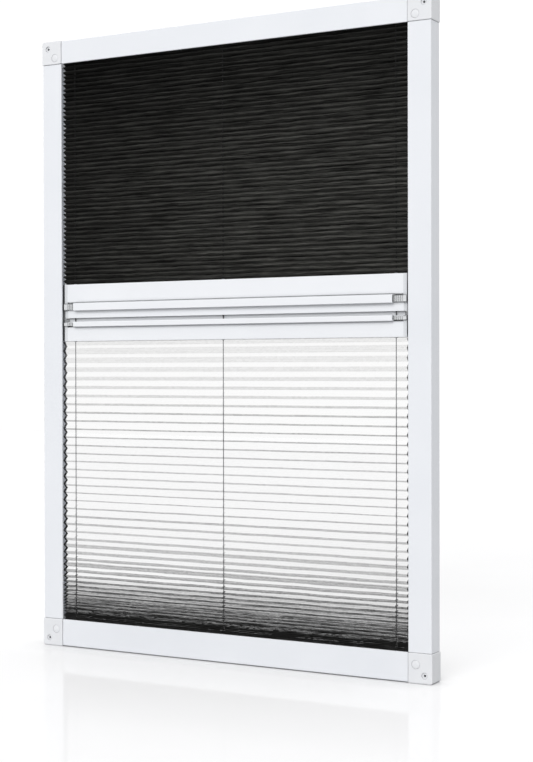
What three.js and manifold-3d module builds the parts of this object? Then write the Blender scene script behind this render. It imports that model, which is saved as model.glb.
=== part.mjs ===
// Window blind for a skylight: one white frame that holds a pleated blackout cloth above
// and a pleated insect screen below, with two grip rails that slide between them.
// Millimetres. X runs to the right, Y to the back, Z up. The back plane is Y = 0 and the
// origin lies on it, in the middle of the bottom profile.
import * as THREE from 'three';
import { mergeVertices } from 'three/addons/utils/BufferGeometryUtils.js';
import Module from 'manifold-3d';

const wasm = await Module();
wasm.setup();

// Frame profiles, measured over the aluminium
const frameWidth = 700;
const frameHeight = 1000;
const frameDepth = 30;
const sideFace = 37; // face width seen from the front
const topFace = 37;
const bottomFace = 43.5;
const profileWall = 1.6;
const channelDepth = 24; // open channel that faces the cloth
const beadWidth = 2.4; // thickened edge along both lips of the channel
const beadHeight = 1.6;
const profileRadius = 0.8;
const rearLipShort = 13.4; // the rear lip of the side profiles is this much shorter than the front one
const endSeam = 0.6; // joint between a corner block and the profile beside it

// Corner blocks
const blockProud = 1.2; // stands out over the profiles in front and outside
const blockWall = 2.6;
const blockRadius = 3; // outer upright edge
const blockEdge = 1; // rounded edge round the front
const spigotLength = 28;
const spigotWall = 2.2;
const spigotClearance = 0.25;
const spigotLeadIn = 2;
const screwHoleRadius = 2;
const screwHeadRadius = 5;
const screwHeadDepth = 1.6;
const screwInsetSide = 12; // from the block's outer faces
const screwInsetEnd = 12.5;
const bossWall = 2.6;
const capRadius = 6.4;
const capThickness = 1.6;
const capEdge = 0.35;
const capDome = 0.7;
const capStemRadius = 2.2;
const capStemLength = 7;
const capClearance = 0.2;
const capInsetSide = 26;
const capInsetEnd = 28;

// Cloths
const clothPlane = 8; // middle of the pleats, behind the front of the profiles
const pleatDepth = 8.2;
const clothThickness = 0.8;
const clothSideGap = 1.3; // from the cloth's edge to the side profile
const clothLegOffset = 0.8; // from the back folds to the end that is clamped
const clothRise = 2.5; // from a rail to the first fold
const stackHeight = 20; // folds that lie closed on the sill
const stackRidge = 0.7;

// Clamp strips that hold the ends of the cloths
const clampWidth = 3.6;
const clampDepth = 4;
const clampFloor = 1;
const clampClearance = 0.3;

// Carrier bars in the top and bottom channels
const carrierThickness = 7.7;
const carrierWall = 1.4;
const carrierClearance = 0.4;
const seatGap = 0.3;

// Grip rails
const railPairHeight = 504; // underside of the lower rail, over the frame's lower edge
const railPairGap = 6.3;
const railSetback = 4; // face of the rails, behind the front of the profiles
const railWall = 1.4;
const railEndGap = 9; // from the rail's end to the side profile
const gripReach = 6;
const upperFaceHeight = 31;
const upperGripHeight = 12.2;
const skirtHeight = 12.1;
const skirtSetback = 1.4;
const lowerFaceHeight = 23.8;
const lowerGripHeight = 8.2;
const upstandHeight = 14.5; // closes the gap behind the skirt
const upstandOffset = 2; // behind the cord plane
const gripCut = 15.5; // grips are milled away at the ends
const gripGroove = 1.8; // shadow groove between a face and its grip
const gripGrooveDepth = 1.1;

// End caps of the rails
const capPlugLength = 7;
const capSideGap = 3.2; // from the cap's plate to the side profile
const capNeckSetback = 6; // the neck into the channel lies behind the plate
const capPlugClearance = 0.3;
const shoeMargin = 3;
const shoeClearance = 0.5;
const shoeRadius = 2;
const tongueThickness = 2.4;
const tongueMargin = 1.6;
const tongueRib = 0.7;
const tongueRibs = 5;

// Tension cords with their eyelets, clips and springs
const cordRadius = 0.7;
const cordSideInset = 22.3; // from the side profile
const middleCordShift = -6;
const cordClearance = 0.4;
const knotRadius = 1.9;
const knotHeight = 3;
const clipRadius = 3.6;
const clipThickness = 2.4;
const eyeletWall = 0.5;
const eyeletFlange = 0.8;
const eyeletFlangeThickness = 0.7;
const eyeletShank = 2.6;
const eyeletClearance = 0.2;
const springRadius = 2.4;
const springWireRadius = 0.35;
const springTurns = 4;

// Counts and small lengths that serve every piece
const blackoutFolds = 22;
const screenFolds = 20;
const screenTopShare = 1.5;
const screenBottomShare = 0.5;
const roundSides = 16;
const capSides = 24;
const turnedSides = 12;
const cordSides = 8;
const pleatDrillSides = 3;
const stackRidges = 8;
const overrun = 1; // every cut runs this far past the piece
const weldDistance = 0.0005;

// Places that follow from the sizes above
const frameBottom = -bottomFace / 2;
const frameTop = frameBottom + frameHeight;
const front = -frameDepth;
const innerHalfWidth = frameWidth / 2 - sideFace;
const channelFloorX = frameWidth / 2 - (sideFace - channelDepth);
const legPlane = clothPlane + pleatDepth / 2 + clothLegOffset;
const pocketFront = legPlane - clampWidth / 2 - clampClearance;
const pocketBack = legPlane + clampWidth / 2 + clampClearance;
const pocketDepth = clampDepth + 2 * clampClearance;
const railBack = pocketBack + railWall;
const railHalfLength = innerHalfWidth - railEndGap;
const clothHalfWidth = innerHalfWidth - clothSideGap;
const cordHoleRadius = cordRadius + cordClearance;
const eyeletBore = cordHoleRadius + eyeletWall + eyeletClearance;
const lowerRailZ = frameBottom + railPairHeight;
const lowerRailHeight = lowerFaceHeight + lowerGripHeight;
const upperRailZ = lowerRailZ + lowerRailHeight + railPairGap;
const upperBodyZ = upperRailZ + skirtHeight;
const upperRailTop = upperBodyZ + upperGripHeight + upperFaceHeight;
const headerZ = frameTop - topFace + beadWidth + seatGap; // underside of the header carrier
const sillZ = frameBottom + bottomFace - beadWidth - seatGap; // top of the sill carrier
const cordPlaces = {
  left: -(innerHalfWidth - cordSideInset),
  middle: middleCordShift,
  right: innerHalfWidth - cordSideInset,
};

// Materials
const finish = (color, roughness, metalness = 0) => () => (
  new THREE.MeshStandardMaterial({ color, roughness, metalness })
);
const coatedAluminium = finish('#eef0f4', 0.42, 0.05);
const whitePlastic = finish('#e9eaec', 0.5);
const greyPlastic = finish('#b9bbbd', 0.55);
const blackCloth = finish('#272725', 0.95);
const greyMesh = finish('#9d9d9b', 0.9);
const cordYarn = finish('#b4b6b8', 0.85);
const springSteel = finish('#a9abad', 0.3, 1);

// Closed solid from any geometry whose faces point out
function solidFrom(geometry) {
  const bare = new THREE.BufferGeometry();
  bare.setAttribute('position', geometry.getAttribute('position').clone());
  if (geometry.index) bare.setIndex(geometry.index.clone());
  const welded = mergeVertices(bare, weldDistance);
  return new wasm.Manifold(new wasm.Mesh({
    numProp: 3,
    vertProperties: new Float32Array(welded.getAttribute('position').array),
    triVerts: new Uint32Array(welded.index.array),
  }));
}

function meshFrom(name, solid, material) {
  const { vertProperties, triVerts } = solid.getMesh();
  const geometry = new THREE.BufferGeometry();
  geometry.setAttribute('position', new THREE.BufferAttribute(vertProperties, 3));
  geometry.setIndex(new THREE.BufferAttribute(triVerts, 1));
  const mesh = new THREE.Mesh(geometry, material);
  mesh.name = name;
  return mesh;
}

// Prisms: the outline is drawn across the named axis, in the order of the other two
const turnToX = new THREE.Matrix4().set(0, 0, 1, 0, 1, 0, 0, 0, 0, 1, 0, 0, 0, 0, 0, 1);
const turnToY = new THREE.Matrix4().set(0, 1, 0, 0, 0, 0, 1, 0, 1, 0, 0, 0, 0, 0, 0, 1);

function wound(outline) {
  const points = outline.map(([a, b]) => new THREE.Vector2(a, b));
  return THREE.ShapeUtils.isClockWise(points) ? points.reverse() : points;
}

function extrude(outline, from, to, turn) {
  const shape = new THREE.Shape(wound(outline));
  const geometry = new THREE.ExtrudeGeometry(shape, { depth: to - from, bevelEnabled: false });
  geometry.translate(0, 0, from);
  if (turn) geometry.applyMatrix4(turn);
  return solidFrom(geometry);
}

function hollowed(outline, holes, from, to, turn) {
  let solid = extrude(outline, from, to, turn);
  for (const hole of holes) {
    solid = solid.subtract(extrude(hole, from - overrun, to + overrun, turn));
  }
  return solid;
}

const alongX = (outlineYZ, from, to, holes = []) => hollowed(outlineYZ, holes, from, to, turnToX);
const alongZ = (outlineXY, from, to, holes = []) => hollowed(outlineXY, holes, from, to, null);
const alongY = (outlineXZ, from, to) => extrude(outlineXZ.map(([x, z]) => [z, x]), from, to, turnToY);

const rectangle = (a0, a1, b0, b1) => [[a0, b0], [a1, b0], [a1, b1], [a0, b1]];
const box = (x0, x1, y0, y1, z0, z1) => alongZ(rectangle(x0, x1, y0, y1), z0, z1);

function circle(a, b, radius, sides = roundSides) {
  const turn = (2 * Math.PI) / sides;
  const point = (i) => [a + radius * Math.cos((i + 0.5) * turn), b + radius * Math.sin((i + 0.5) * turn)];
  return Array.from({ length: sides }, (_, i) => point(i));
}

// Outline with each corner rounded to its radius; a radius of zero keeps the corner sharp
function rounded(corners, radii, steps = 3) {
  const points = [];
  corners.forEach(([x, y], i) => {
    const radius = Array.isArray(radii) ? radii[i] : radii;
    if (!radius) {
      points.push([x, y]);
      return;
    }
    const corner = new THREE.Vector2(x, y);
    const before = new THREE.Vector2(...corners.at(i - 1)).sub(corner).normalize();
    const after = new THREE.Vector2(...corners[(i + 1) % corners.length]).sub(corner).normalize();
    const start = corner.clone().addScaledVector(before, radius);
    const end = corner.clone().addScaledVector(after, radius);
    const curve = new THREE.QuadraticBezierCurve(start, corner, end);
    curve.getPoints(steps).forEach((p) => points.push([p.x, p.y]));
  });
  return points;
}

// Turned piece from a closed profile of [radius, height], its axis along Z
function turned(profile, sides = roundSides) {
  const closed = [...profile, profile[0]].map(([r, h]) => new THREE.Vector2(r, h));
  const geometry = new THREE.LatheGeometry(closed, sides);
  geometry.rotateX(Math.PI / 2);
  return solidFrom(geometry);
}

// Frame profile: a closed chamber outside and a channel with beaded lips inside.
// The section runs from the outer face (0) to the lips, and from the back (0) to the front.
function profileSection(face, rearFace, toPlane) {
  const chamber = face - channelDepth;
  const depth = frameDepth;
  const outline = [
    [0, 0], [rearFace, 0], [rearFace, profileWall + beadHeight],
    [rearFace - beadWidth, profileWall + beadHeight], [rearFace - beadWidth, profileWall],
    [chamber, profileWall], [chamber, depth - profileWall],
    [face - beadWidth, depth - profileWall], [face - beadWidth, depth - profileWall - beadHeight],
    [face, depth - profileWall - beadHeight], [face, depth], [0, depth],
  ];
  const r = profileRadius;
  const radii = [r, r, r, 0, 0, 0, 0, 0, 0, r, r, r];
  const hole = rectangle(profileWall, chamber - profileWall, profileWall, depth - profileWall);
  return { outline: rounded(outline, radii).map(toPlane), holes: [hole.map(toPlane)] };
}

function sideProfile(name, side) {
  const plane = ([u, v]) => [side * (frameWidth / 2 - u), -v];
  const { outline, holes } = profileSection(sideFace, sideFace - rearLipShort, plane);
  const [low, high] = [frameBottom + bottomFace + endSeam, frameTop - topFace - endSeam];
  const solid = alongZ(outline, low, high, holes);
  return meshFrom(name, solid, coatedAluminium());
}

function endProfile(name, face, edgeZ, inward) {
  const plane = ([u, v]) => [-v, edgeZ + inward * u];
  const { outline, holes } = profileSection(face, face, plane);
  const solid = alongX(outline, endSeam - innerHalfWidth, innerHalfWidth - endSeam, holes);
  return meshFrom(name, solid, coatedAluminium());
}

// Corner block: a moulded shell with a screw boss, a cap seat and two hollow spigots.
// Its own plane is measured inwards from the outer side face and from the outer end face.
function cornerBlock(name, side, face, edgeZ, inward) {
  const width = sideFace + blockProud;
  const height = face + blockProud;
  const toX = (a) => side * (frameWidth / 2 + blockProud - a);
  const toZ = (c) => edgeZ - inward * blockProud + inward * c;
  const plane = ([a, c]) => [toX(a), toZ(c)];
  const blockFront = front - blockProud;
  const shell = blockShell(width, height, plane, blockFront);
  const inside = rectangle(blockWall, width - blockWall, blockWall, height - blockWall);
  const cavity = alongY(
    rounded(inside, blockWall / 2).map(plane), blockFront + blockWall + capThickness, overrun,
  );
  const bossAt = (a, c, radius) => alongY(circle(toX(a), toZ(c), radius), blockFront + blockWall, 0);
  const screwBoss = bossAt(screwInsetSide, screwInsetEnd, screwHoleRadius + bossWall);
  const capBoss = bossAt(capInsetSide, capInsetEnd, capStemRadius + bossWall);
  let block = shell.subtract(cavity).add(screwBoss).add(capBoss);
  block = block.add(spigot(width, face, plane, (a, c) => [a, c]));
  block = block.add(spigot(height, sideFace, plane, (a, c) => [c, a]));
  const headFloor = blockFront + screwHeadDepth;
  const seatFloor = blockFront + capThickness + capClearance;
  const stemEnd = seatFloor + capStemLength + capClearance;
  const open = blockFront - overrun;
  const boreAt = (a, c) => (radius, to) => alongY(circle(toX(a), toZ(c), radius), open, to);
  const screwBore = boreAt(screwInsetSide, screwInsetEnd);
  const capBore = boreAt(capInsetSide, capInsetEnd);
  block = block.subtract(screwBore(screwHoleRadius, overrun));
  block = block.subtract(screwBore(screwHeadRadius, headFloor));
  block = block.subtract(capBore(capRadius + capClearance, seatFloor));
  block = block.subtract(capBore(capStemRadius + capClearance, stemEnd));
  return meshFrom(name, block, whitePlastic());
}

// Outer form of a block: rounded round the front, cut flat at the back plane
function blockShell(width, height, plane, blockFront) {
  const edge = blockEdge;
  const corners = rectangle(edge, width - edge, edge, height - edge);
  const outline = rounded(corners, [blockRadius, edge / 2, edge / 2, edge / 2], 4).map(plane);
  const shape = new THREE.Shape(wound(outline.map(([x, z]) => [z, x])));
  const geometry = new THREE.ExtrudeGeometry(shape, {
    depth: -blockFront,
    bevelThickness: edge,
    bevelSize: edge,
    bevelSegments: 3,
  });
  geometry.applyMatrix4(turnToY);
  geometry.translate(0, blockFront + edge, 0);
  const reach = 2 * (frameWidth + frameHeight);
  return solidFrom(geometry).subtract(box(-reach, reach, 0, reach, -reach, reach));
}

// Hollow spigot that slides into the chamber of a profile with the given face width.
// order swaps the block's two directions for the upright spigot.
function spigot(root, face, plane, order) {
  const chamber = face - channelDepth;
  const inset = profileWall + spigotClearance;
  const low = blockProud + inset;
  const high = blockProud + chamber - inset;
  const tip = root + spigotLength;
  const lead = tip - spigotLeadIn;
  const halfLead = spigotLeadIn / 4;
  const body = [
    [root - blockWall / 2, low], [lead, low], [tip, low + halfLead],
    [tip, high - halfLead], [lead, high], [root - blockWall / 2, high],
  ].map(([a, c]) => plane(order(a, c)));
  const hollow = rectangle(root + spigotWall, tip + overrun, low + spigotWall, high - spigotWall)
    .map(([a, c]) => plane(order(a, c)));
  const solid = alongY(body, front + inset, -inset);
  return solid.subtract(alongY(hollow, front + inset + spigotWall, -inset - spigotWall));
}

// Cover cap: a slightly domed disc with a stem, pressed into the block
function coverCap(name, side, edgeZ, inward) {
  const solid = turned([
    [0, -capStemLength], [capStemRadius - capEdge, -capStemLength],
    [capStemRadius, -capStemLength + capEdge], [capStemRadius, 0],
    [capRadius, 0], [capRadius, capThickness - capEdge], [capRadius - capEdge, capThickness],
    [capRadius / 2, capThickness + 0.75 * capDome], [0, capThickness + capDome],
  ], capSides);
  const mesh = meshFrom(name, solid, whitePlastic());
  mesh.rotation.x = Math.PI / 2;
  mesh.position.set(
    side * (frameWidth / 2 + blockProud - capInsetSide),
    front - blockProud + capThickness + capClearance / 2,
    edgeZ - inward * blockProud + inward * capInsetEnd,
  );
  return mesh;
}

// Pocket for a clamp strip, from front to back: mouth is its open side, away points into it
function pocket(mouth, away) {
  const floor = mouth + away * pocketDepth;
  const [near, far] = [front + pocketFront, front + pocketBack];
  return [[near, mouth], [near, floor], [far, floor], [far, mouth]];
}

// Carrier bar in the channel: holds the cloth's clamp and is drilled for the cords.
// inner is its face towards the cloth, away points from there into the channel.
function carrierBar(name, inner, away) {
  const yFront = front + profileWall + carrierClearance;
  const yBack = -profileWall - carrierClearance;
  const z = (h) => inner + away * h;
  const outline = [
    [yFront, z(0)], ...pocket(inner, away), [yBack, z(0)],
    [yBack, z(carrierThickness)], [yFront, z(carrierThickness)],
  ];
  const chamber = (y0, y1) => rectangle(y0, y1, z(carrierWall), z(carrierThickness - carrierWall));
  const holes = [
    chamber(yFront + carrierWall, front + clothPlane - cordHoleRadius - carrierWall),
    chamber(front + pocketBack + carrierWall, yBack - carrierWall),
  ];
  const half = innerHalfWidth - carrierClearance;
  let bar = alongX(outline, -half, half, holes);
  for (const x of Object.values(cordPlaces)) {
    const low = Math.min(z(-overrun), z(carrierThickness + overrun));
    const high = Math.max(z(-overrun), z(carrierThickness + overrun));
    bar = bar.subtract(alongZ(circle(x, front + clothPlane, cordHoleRadius, cordSides), low, high));
  }
  return meshFrom(name, bar, whitePlastic());
}

// Clamp strip: a small channel that grips the end of a cloth inside a pocket
function clampStrip(name, mouth, away) {
  const z = (h) => mouth + away * h;
  const slot = clothThickness / 2 + clampClearance;
  const half = clampWidth / 2;
  const y = (d) => front + legPlane + d;
  const low = clampClearance;
  const high = clampClearance + clampDepth;
  const outline = [
    [y(-half), z(low)], [y(-slot), z(low)], [y(-slot), z(high - clampFloor)],
    [y(slot), z(high - clampFloor)], [y(slot), z(low)],
    [y(half), z(low)], [y(half), z(high)], [y(-half), z(high)],
  ];
  return meshFrom(name, alongX(outline, -clothHalfWidth, clothHalfWidth), greyPlastic());
}

// Shadow groove in a rail's face beside its grip; away points from the grip along the face
function gripGap(face, root, away) {
  const end = root + away * gripGroove;
  return [[face + gripGrooveDepth, root], [face + gripGrooveDepth, end], [face, end]];
}

// Grip rails: hollow sections with a hollow grip and a pocket for the clamp strip
function upperRail() {
  const top = upperRailTop;
  const gripTop = upperBodyZ + upperGripHeight;
  const face = front + railSetback;
  const nose = face - gripReach;
  const skirtFront = face + skirtSetback;
  const outline = rounded([
    [face, top], ...pocket(top, -1), [front + railBack, top],
    [front + railBack, upperBodyZ], [skirtFront + railWall, upperBodyZ], [skirtFront + railWall, upperRailZ],
    [skirtFront, upperRailZ], [skirtFront, upperBodyZ], [nose, upperBodyZ], [nose, gripTop],
    ...gripGap(face, gripTop, 1),
  ], [railWall / 2, 0, 0, 0, 0, railWall / 2, railWall / 2, 0, 0, 0, 0, railWall / 2, railWall, 0, 0, 0]);
  const body = [
    [face + railWall, upperBodyZ + railWall], [front + railBack - railWall, upperBodyZ + railWall],
    [front + railBack - railWall, top - pocketDepth - railWall],
    [front + pocketFront - railWall, top - pocketDepth - railWall],
    [front + pocketFront - railWall, top - railWall], [face + railWall, top - railWall],
  ];
  const grip = rectangle(nose + railWall, face, upperBodyZ + railWall, gripTop - railWall);
  const rail = alongX(outline, -railHalfLength, railHalfLength, [body, grip]);
  return meshFrom('upper_rail', millRail(rail, upperBodyZ, gripTop, upperRailZ, top), coatedAluminium());
}

function lowerRail() {
  const top = lowerRailZ + lowerRailHeight;
  const gripZ = top - lowerGripHeight;
  const face = front + railSetback;
  const nose = face - gripReach;
  const upstand = front + clothPlane + upstandOffset;
  const outline = rounded([
    [face, lowerRailZ], ...pocket(lowerRailZ, 1), [front + railBack, lowerRailZ],
    [front + railBack, top], [upstand + railWall, top],
    [upstand + railWall, top + upstandHeight], [upstand, top + upstandHeight], [upstand, top],
    [nose, top], [nose, gripZ], ...gripGap(face, gripZ, -1),
  ], [railWall / 2, 0, 0, 0, 0, railWall / 2, railWall / 2, 0, 0, 0, 0, railWall, railWall / 2, 0, 0, 0]);
  const body = [
    [face + railWall, lowerRailZ + railWall], [front + pocketFront - railWall, lowerRailZ + railWall],
    [front + pocketFront - railWall, lowerRailZ + pocketDepth + railWall],
    [front + railBack - railWall, lowerRailZ + pocketDepth + railWall],
    [front + railBack - railWall, top - railWall], [face + railWall, top - railWall],
  ];
  const grip = rectangle(nose + railWall, face, gripZ + railWall, top - railWall);
  const rail = alongX(outline, -railHalfLength, railHalfLength, [body, grip]);
  return meshFrom('lower_rail', millRail(rail, gripZ, top, lowerRailZ, top), coatedAluminium());
}

// Mills the grip and the wall behind it away at both ends, and drills the cord holes
function millRail(rail, cutLow, cutHigh, low, high) {
  const depth = front + railSetback + railWall;
  const shoulder = railHalfLength - gripCut;
  let cut = rail;
  for (const side of [-1, 1]) {
    const xs = [side * shoulder, side * (railHalfLength + overrun)].sort((a, b) => a - b);
    cut = cut.subtract(box(...xs, front - gripReach - overrun, depth, cutLow - seatGap, cutHigh + seatGap));
  }
  for (const x of Object.values(cordPlaces)) {
    const drill = circle(x, front + clothPlane, eyeletBore, turnedSides);
    cut = cut.subtract(alongZ(drill, low - overrun, high + overrun));
  }
  return cut;
}

// End cap of a rail: cover plate, plug, guide shoe behind the beads, ribbed grip end
function endCap(name, side, section, plug, shoe, tongue) {
  const at = (a, b) => [side * a, side * b].sort((p, q) => p - q);
  const plateEnd = channelFloorX - shoeClearance;
  const neckStart = innerHalfWidth - capSideGap;
  const neckFace = front + railSetback + capNeckSetback;
  let cap = alongX(section, ...at(railHalfLength, plateEnd));
  const [under, over] = [lowerRailZ - overrun, upperRailTop + overrun];
  cap = cap.subtract(box(...at(neckStart, plateEnd + overrun), front, neckFace, under, over));
  const shoeFront = front + profileWall + shoeClearance;
  const shoeBack = -profileWall - beadHeight - shoeClearance;
  const shoeOuter = rounded(rectangle(shoeFront, shoeBack, shoe[0], shoe[1]), shoeRadius);
  const shoeInner = innerHalfWidth + beadWidth + shoeClearance;
  cap = cap.add(alongX(shoeOuter, ...at(shoeInner, plateEnd)));
  cap = cap.add(alongX(plug, ...at(railHalfLength - capPlugLength, railHalfLength + overrun)));
  const tongueTip = railHalfLength - gripCut + seatGap;
  const tongueRoot = neckStart;
  const [low, high] = [tongue[0] + tongueMargin, tongue[1] - tongueMargin];
  const back = front + railSetback + capPlugClearance;
  const face = back - tongueThickness;
  cap = cap.add(box(...at(tongueTip, tongueRoot), face, back, low, high));
  const pitch = gripCut / tongueRibs;
  for (let i = 0; i < tongueRibs; i += 1) {
    const centre = tongueTip + (i + 0.5) * pitch;
    cap = cap.add(box(...at(centre - tongueRib, centre + tongueRib), face - tongueRib, back, low, high));
  }
  return meshFrom(name, cap, whitePlastic());
}

function upperEndCap(name, side) {
  const face = front + railSetback;
  const section = [
    [face, upperRailTop], ...pocket(upperRailTop, -1), [front + railBack, upperRailTop],
    [front + railBack, upperRailZ], [face + skirtSetback, upperRailZ],
    [face + skirtSetback, upperBodyZ], [face, upperBodyZ],
  ];
  const inner = railWall + capPlugClearance;
  const plug = rectangle(
    face + inner, front + pocketFront - inner,
    upperBodyZ + upperGripHeight + inner, upperRailTop - inner,
  );
  const shoe = [upperBodyZ + shoeMargin, upperRailTop - shoeMargin];
  return endCap(name, side, section, plug, shoe, [upperBodyZ, upperBodyZ + upperGripHeight]);
}

function lowerEndCap(name, side) {
  const face = front + railSetback;
  const top = lowerRailZ + lowerRailHeight;
  const lip = front + clothPlane + upstandOffset; // carries the upstand on as far as the gap is open
  const lipTop = top + railPairGap - 2 * seatGap;
  const section = [
    [face, top], [face, lowerRailZ], ...pocket(lowerRailZ, 1), [front + railBack, lowerRailZ],
    [front + railBack, top], [lip + railWall, top], [lip + railWall, lipTop], [lip, lipTop], [lip, top],
  ];
  const inner = railWall + capPlugClearance;
  const plug = rectangle(
    face + inner, front + pocketFront - inner,
    lowerRailZ + inner, top - lowerGripHeight - inner,
  );
  const shoe = [lowerRailZ + shoeMargin, top - shoeMargin];
  return endCap(name, side, section, plug, shoe, [top - lowerGripHeight, top]);
}

// Sheet of even thickness along a folded line of [y, z] points
function sheetOutline(line) {
  const points = line.map(([y, z]) => new THREE.Vector2(y, z));
  const normal = (a, b) => new THREE.Vector2(a.y - b.y, b.x - a.x).normalize();
  const offsets = points.map((point, i) => {
    const before = i > 0 ? normal(points[i - 1], point) : null;
    const after = i < points.length - 1 ? normal(point, points[i + 1]) : null;
    if (!before || !after) return (before || after).multiplyScalar(clothThickness / 2);
    const middle = before.clone().add(after).normalize();
    return middle.multiplyScalar(clothThickness / 2 / middle.dot(before));
  });
  const left = points.map((point, i) => point.clone().add(offsets[i]));
  const right = points.map((point, i) => point.clone().sub(offsets[i])).reverse();
  return [...left, ...right].map((p) => [p.x, p.y]);
}

// Heights of the folds between two levels: the share of each fold runs evenly between
// a share at the upper end and a share at the lower end
function foldLevels(high, low, folds, topShare, bottomShare) {
  const count = 2 * folds;
  const step = (bottomShare - topShare) / (count - 1);
  const shares = Array.from({ length: count }, (_, i) => topShare + step * i);
  const total = shares.reduce((sum, share) => sum + share, 0);
  let level = high;
  return shares.map((share) => {
    level -= ((high - low) * share) / total;
    return level;
  });
}

function drillForCords(cloth, low, high) {
  let drilled = cloth;
  for (const x of Object.values(cordPlaces)) {
    const drill = circle(x, front + clothPlane, 2 * cordHoleRadius, pleatDrillSides);
    drilled = drilled.subtract(alongZ(drill, low, high));
  }
  return drilled;
}

// Blackout cloth: evenly pleated between the header carrier and the upper rail
function blackoutCloth() {
  const foldFront = front + clothPlane - pleatDepth / 2;
  const foldBack = front + clothPlane + pleatDepth / 2;
  const leg = front + legPlane;
  const endInClamp = clampDepth - clampFloor;
  const high = headerZ - clothRise;
  const low = upperRailTop + clothRise;
  const levels = foldLevels(high, low, blackoutFolds, 1, 1);
  const line = [[leg, headerZ + endInClamp], [leg, high]];
  levels.forEach((level, i) => line.push([i % 2 ? foldBack : foldFront, level]));
  line[line.length - 1] = [leg, low];
  line.push([leg, upperRailTop - endInClamp]);
  const sheet = alongX(sheetOutline(line), -clothHalfWidth, clothHalfWidth);
  return meshFrom('blackout_cloth', drillForCords(sheet, upperRailTop, headerZ), blackCloth());
}

// Insect screen: drawn out under its own weight at the top, closed to a stack on the sill
function screenCloth() {
  const foldFront = front + clothPlane - pleatDepth / 2;
  const foldBack = front + clothPlane + pleatDepth / 2;
  const leg = front + legPlane;
  const endInClamp = clampDepth - clampFloor;
  const high = lowerRailZ - clothRise;
  const stackTop = frameBottom + bottomFace + stackHeight;
  const levels = foldLevels(high, stackTop, screenFolds, screenTopShare, screenBottomShare);
  const line = [[leg, lowerRailZ + endInClamp], [leg, high]];
  levels.forEach((level, i) => line.push([i % 2 ? foldBack : foldFront, level]));
  line.push([foldBack, stackTop - clothThickness]);
  const sheet = alongX(sheetOutline(line), -clothHalfWidth, clothHalfWidth);
  const stack = stackOutline(foldFront, foldBack, stackTop, sillZ + clothRise, leg, sillZ - endInClamp);
  const cloth = sheet.add(alongX(stack, -clothHalfWidth, clothHalfWidth));
  return meshFrom('insect_screen', drillForCords(cloth, sillZ, lowerRailZ), greyMesh());
}

// Closed folds on the sill, ribbed in front and behind, with the leg that is clamped
function stackOutline(foldFront, foldBack, high, low, leg, end) {
  const pitch = (high - low) / stackRidges;
  const behind = [];
  const before = [];
  for (let i = 0; i < stackRidges; i += 1) {
    const top = high - i * pitch;
    behind.push([foldBack, top], [foldBack - stackRidge, top - pitch / 2]);
    before.push([foldFront + stackRidge, top], [foldFront, top - pitch / 2]);
  }
  const half = clothThickness / 2;
  return [
    ...before, [foldFront + stackRidge, low], [leg - half, low], [leg - half, end], [leg + half, end],
    [leg + half, low + clothThickness], [foldBack - stackRidge, low + clothThickness], ...behind.reverse(),
  ];
}

// Tension cord with a knot at each end
function tensionCord(name, x, low, high) {
  const knot = (z, way) => [
    [cordRadius, z], [knotRadius, z + (way * knotHeight) / 3],
    [knotRadius, z + (way * 2 * knotHeight) / 3],
  ];
  const solid = turned([
    [0, low - knotHeight], [cordRadius, low - knotHeight], ...knot(low, -1).reverse(),
    ...knot(high, 1), [cordRadius, high + knotHeight], [0, high + knotHeight],
  ], cordSides);
  const mesh = meshFrom(name, solid, cordYarn());
  mesh.position.set(x, front + clothPlane, 0);
  return mesh;
}

function turnedAt(name, profile, x, z, material) {
  const mesh = meshFrom(name, turned(profile, turnedSides), material);
  mesh.position.set(x, front + clothPlane, z);
  return mesh;
}

// Clip disc under a knot, with the bore for the cord
function cordClip(name, x, z) {
  const edge = clipThickness / 4;
  const profile = [
    [cordHoleRadius, 0], [clipRadius - edge, 0], [clipRadius, edge], [clipRadius, clipThickness - edge],
    [clipRadius - edge, clipThickness], [cordHoleRadius, clipThickness],
  ];
  return turnedAt(name, profile, x, z, whitePlastic());
}

// Flanged eyelet that the cord runs through; way points from the flange into the rail
function eyelet(name, x, z, way) {
  const shank = cordHoleRadius + eyeletWall;
  const flange = eyeletBore + eyeletFlange;
  const up = [
    [cordHoleRadius, -eyeletShank], [shank, -eyeletShank], [shank, 0], [flange, 0],
    [flange, eyeletFlangeThickness], [cordHoleRadius, eyeletFlangeThickness],
  ];
  const profile = way < 0 ? up : up.map(([r, h]) => [r, -h]).reverse();
  return turnedAt(name, profile, x, z, greyPlastic());
}

// Coil spring round the cord: one unbroken wire whose ends are cut square
function tensionSpring(name, x, low, high) {
  const sides = 5;
  const steps = 8 * springTurns;
  const rise = high - low - 2 * springWireRadius;
  const positions = [];
  for (let i = 0; i <= steps; i += 1) {
    const angle = (2 * Math.PI * springTurns * i) / steps;
    const out = new THREE.Vector3(Math.cos(angle), Math.sin(angle), 0);
    const height = low + springWireRadius + (rise * i) / steps;
    const centre = out.clone().multiplyScalar(springRadius).setZ(height);
    for (let j = 0; j < sides; j += 1) {
      const turn = (2 * Math.PI * j) / sides;
      const point = centre.clone().addScaledVector(out, springWireRadius * Math.cos(turn));
      positions.push(point.x, point.y, point.z + springWireRadius * Math.sin(turn));
    }
  }
  const index = [];
  for (let i = 0; i < steps; i += 1) {
    for (let j = 0; j < sides; j += 1) {
      const [a, b] = [i * sides + j, i * sides + ((j + 1) % sides)];
      index.push(a, a + sides, b, b, a + sides, b + sides);
    }
  }
  for (let j = 1; j < sides - 1; j += 1) {
    const last = steps * sides;
    index.push(0, j, j + 1, last, last + j + 1, last + j);
  }
  const geometry = new THREE.BufferGeometry();
  geometry.setAttribute('position', new THREE.Float32BufferAttribute(positions, 3));
  geometry.setIndex(index);
  const mesh = meshFrom(name, solidFrom(geometry), springSteel());
  mesh.position.set(x, front + clothPlane, 0);
  return mesh;
}

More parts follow.
